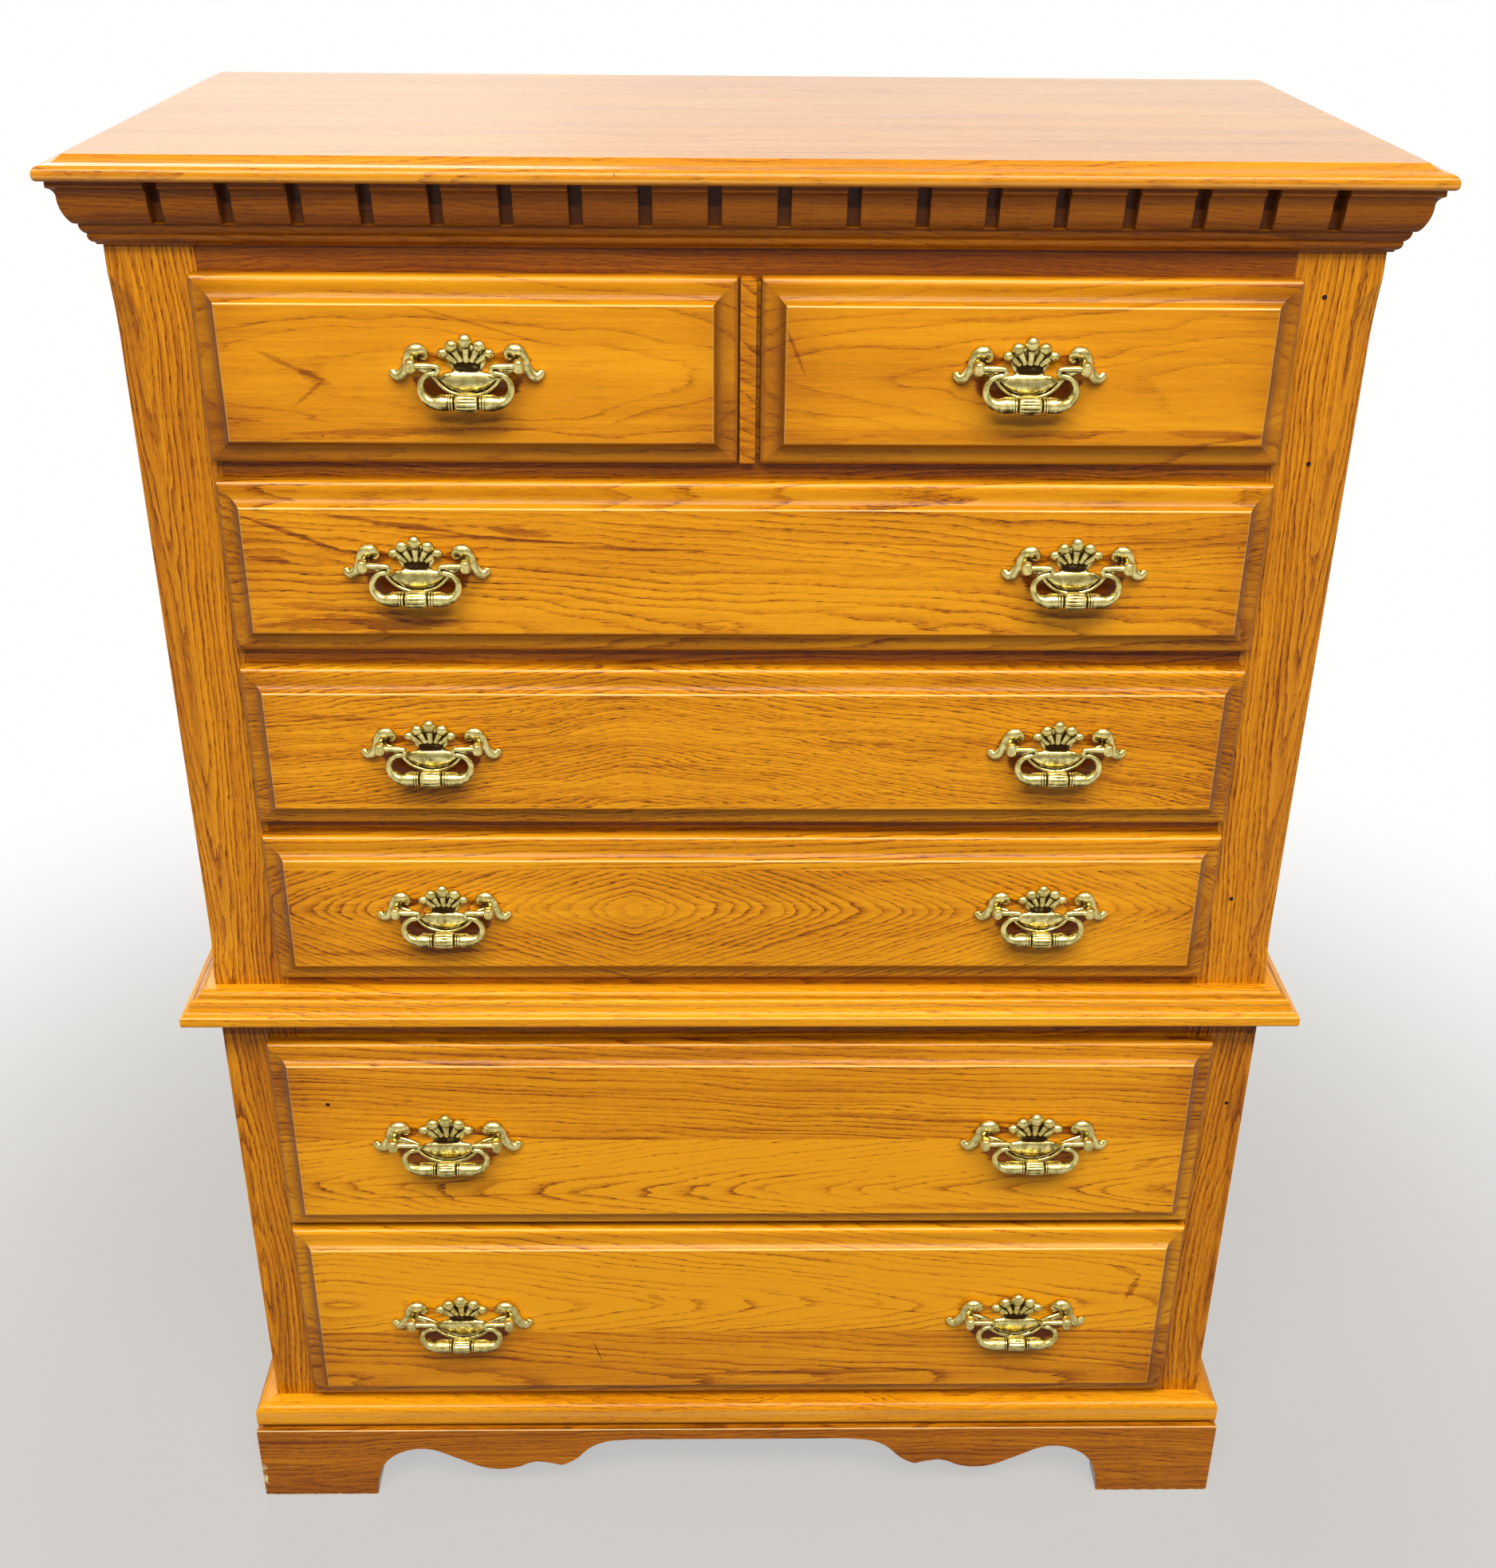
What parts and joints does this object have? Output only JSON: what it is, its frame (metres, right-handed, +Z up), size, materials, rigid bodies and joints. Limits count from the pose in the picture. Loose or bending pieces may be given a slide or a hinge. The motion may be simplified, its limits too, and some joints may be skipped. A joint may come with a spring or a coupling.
{
  "type": "chest on chest",
  "caption": "Oak chest on chest with a dentil crown, a waist moulding and a scalloped bracket base; its drawers slide out on swinging brass bail pulls.",
  "frame": {"origin": "centre of the footprint of the bounding box, on the floor", "axes": "+X to the right of someone facing the drawers, +Y towards the back, +Z up"},
  "size_m": [0.9652, 0.4794, 1.2802],
  "materials": {
    "oak": "gloss lacquer over golden oak",
    "oak_front": "gloss lacquer over golden oak",
    "drawer_wood": "clear satin on the drawer sides",
    "board": "bare boards",
    "brass": "antique"
  },
  "bodies": {
    "case": {"top_panel": "oak", "crown_moulding": "oak", "upper_side_left": "oak", "upper_side_right": "oak", "upper_back": "board", "upper_stile_right": "oak", "upper_stile_left": "oak", "upper_top_rail": "oak", "upper_drawer_rails": "oak", "upper_foot_rail": "oak", "centre_divider": "oak", "upper_dust_boards": "board", "upper_floor_board": "board", "upper_guides": "board", "waist_moulding": "oak", "lower_side_left": "oak", "lower_side_right": "oak", "lower_back": "board", "lower_stile_right": "oak", "lower_stile_left": "oak", "lower_rails": "oak", "lower_boards": "board", "lower_guides": "board", "base_moulding": "oak", "bracket_front": "oak", "bracket_sides": "oak", "corner_blocks": "board"},
    "drawer_1_left": {"drawer_1_left_front": "oak_front", "drawer_1_left_box": "drawer_wood", "drawer_1_left_pull_plates": "brass"},
    "drawer_1_left_bail": {"drawer_1_left_bail": "brass"},
    "drawer_1_right": {"drawer_1_right_front": "oak_front", "drawer_1_right_box": "drawer_wood", "drawer_1_right_pull_plates": "brass"},
    "drawer_1_right_bail": {"drawer_1_right_bail": "brass"},
    "drawer_2": {"drawer_2_front": "oak_front", "drawer_2_box": "drawer_wood", "drawer_2_pull_plates": "brass"},
    "drawer_2_bail_left": {"drawer_2_bail_left": "brass"},
    "drawer_2_bail_right": {"drawer_2_bail_right": "brass"},
    "drawer_3": {"drawer_3_front": "oak_front", "drawer_3_box": "drawer_wood", "drawer_3_pull_plates": "brass"},
    "drawer_3_bail_left": {"drawer_3_bail_left": "brass"},
    "drawer_3_bail_right": {"drawer_3_bail_right": "brass"},
    "drawer_4": {"drawer_4_front": "oak_front", "drawer_4_box": "drawer_wood", "drawer_4_pull_plates": "brass"},
    "drawer_4_bail_left": {"drawer_4_bail_left": "brass"},
    "drawer_4_bail_right": {"drawer_4_bail_right": "brass"},
    "drawer_5": {"drawer_5_front": "oak_front", "drawer_5_box": "drawer_wood", "drawer_5_pull_plates": "brass"},
    "drawer_5_bail_left": {"drawer_5_bail_left": "brass"},
    "drawer_5_bail_right": {"drawer_5_bail_right": "brass"},
    "drawer_6": {"drawer_6_front": "oak_front", "drawer_6_box": "drawer_wood", "drawer_6_pull_plates": "brass"},
    "drawer_6_bail_left": {"drawer_6_bail_left": "brass"},
    "drawer_6_bail_right": {"drawer_6_bail_right": "brass"}
  },
  "joints": [
    {"name": "drawer_1_left_slide", "type": "slide", "parent": "case", "child": "drawer_1_left", "axis": [0, -1, 0], "range_m": [0, 0.3]},
    {"name": "drawer_1_left_bail_hinge", "type": "hinge", "parent": "drawer_1_left", "child": "drawer_1_left_bail", "pos_m": [-0.20015, -0.22991, 1.1415], "axis": [-1, 0, 0], "range_deg": [-3, 100]},
    {"name": "drawer_1_right_slide", "type": "slide", "parent": "case", "child": "drawer_1_right", "axis": [0, -1, 0], "range_m": [0, 0.3]},
    {"name": "drawer_1_right_bail_hinge", "type": "hinge", "parent": "drawer_1_right", "child": "drawer_1_right_bail", "pos_m": [0.2011, -0.22991, 1.1415], "axis": [-1, 0, 0], "range_deg": [-3, 100]},
    {"name": "drawer_2_slide", "type": "slide", "parent": "case", "child": "drawer_2", "axis": [0, -1, 0], "range_m": [0, 0.3]},
    {"name": "drawer_2_bail_left_hinge", "type": "hinge", "parent": "drawer_2", "child": "drawer_2_bail_left", "pos_m": [-0.247, -0.22991, 0.9915], "axis": [-1, 0, 0], "range_deg": [-3, 100]},
    {"name": "drawer_2_bail_right_hinge", "type": "hinge", "parent": "drawer_2", "child": "drawer_2_bail_right", "pos_m": [0.247, -0.22991, 0.9915], "axis": [-1, 0, 0], "range_deg": [-3, 100]},
    {"name": "drawer_3_slide", "type": "slide", "parent": "case", "child": "drawer_3", "axis": [0, -1, 0], "range_m": [0, 0.3]},
    {"name": "drawer_3_bail_left_hinge", "type": "hinge", "parent": "drawer_3", "child": "drawer_3_bail_left", "pos_m": [-0.247, -0.22991, 0.8399], "axis": [-1, 0, 0], "range_deg": [-3, 100]},
    {"name": "drawer_3_bail_right_hinge", "type": "hinge", "parent": "drawer_3", "child": "drawer_3_bail_right", "pos_m": [0.247, -0.22991, 0.8399], "axis": [-1, 0, 0], "range_deg": [-3, 100]},
    {"name": "drawer_4_slide", "type": "slide", "parent": "case", "child": "drawer_4", "axis": [0, -1, 0], "range_m": [0, 0.3]},
    {"name": "drawer_4_bail_left_hinge", "type": "hinge", "parent": "drawer_4", "child": "drawer_4_bail_left", "pos_m": [-0.247, -0.22991, 0.6897], "axis": [-1, 0, 0], "range_deg": [-3, 100]},
    {"name": "drawer_4_bail_right_hinge", "type": "hinge", "parent": "drawer_4", "child": "drawer_4_bail_right", "pos_m": [0.247, -0.22991, 0.6897], "axis": [-1, 0, 0], "range_deg": [-3, 100]},
    {"name": "drawer_5_slide", "type": "slide", "parent": "case", "child": "drawer_5", "axis": [0, -1, 0], "range_m": [0, 0.3]},
    {"name": "drawer_5_bail_left_hinge", "type": "hinge", "parent": "drawer_5", "child": "drawer_5_bail_left", "pos_m": [-0.2605, -0.23249, 0.45195], "axis": [-1, 0, 0], "range_deg": [-3, 100]},
    {"name": "drawer_5_bail_right_hinge", "type": "hinge", "parent": "drawer_5", "child": "drawer_5_bail_right", "pos_m": [0.2605, -0.23249, 0.45195], "axis": [-1, 0, 0], "range_deg": [-3, 100]},
    {"name": "drawer_6_slide", "type": "slide", "parent": "case", "child": "drawer_6", "axis": [0, -1, 0], "range_m": [0, 0.3]},
    {"name": "drawer_6_bail_left_hinge", "type": "hinge", "parent": "drawer_6", "child": "drawer_6_bail_left", "pos_m": [-0.2605, -0.23249, 0.24115], "axis": [-1, 0, 0], "range_deg": [-3, 100]},
    {"name": "drawer_6_bail_right_hinge", "type": "hinge", "parent": "drawer_6", "child": "drawer_6_bail_right", "pos_m": [0.2605, -0.23249, 0.24115], "axis": [-1, 0, 0], "range_deg": [-3, 100]}
  ]
}
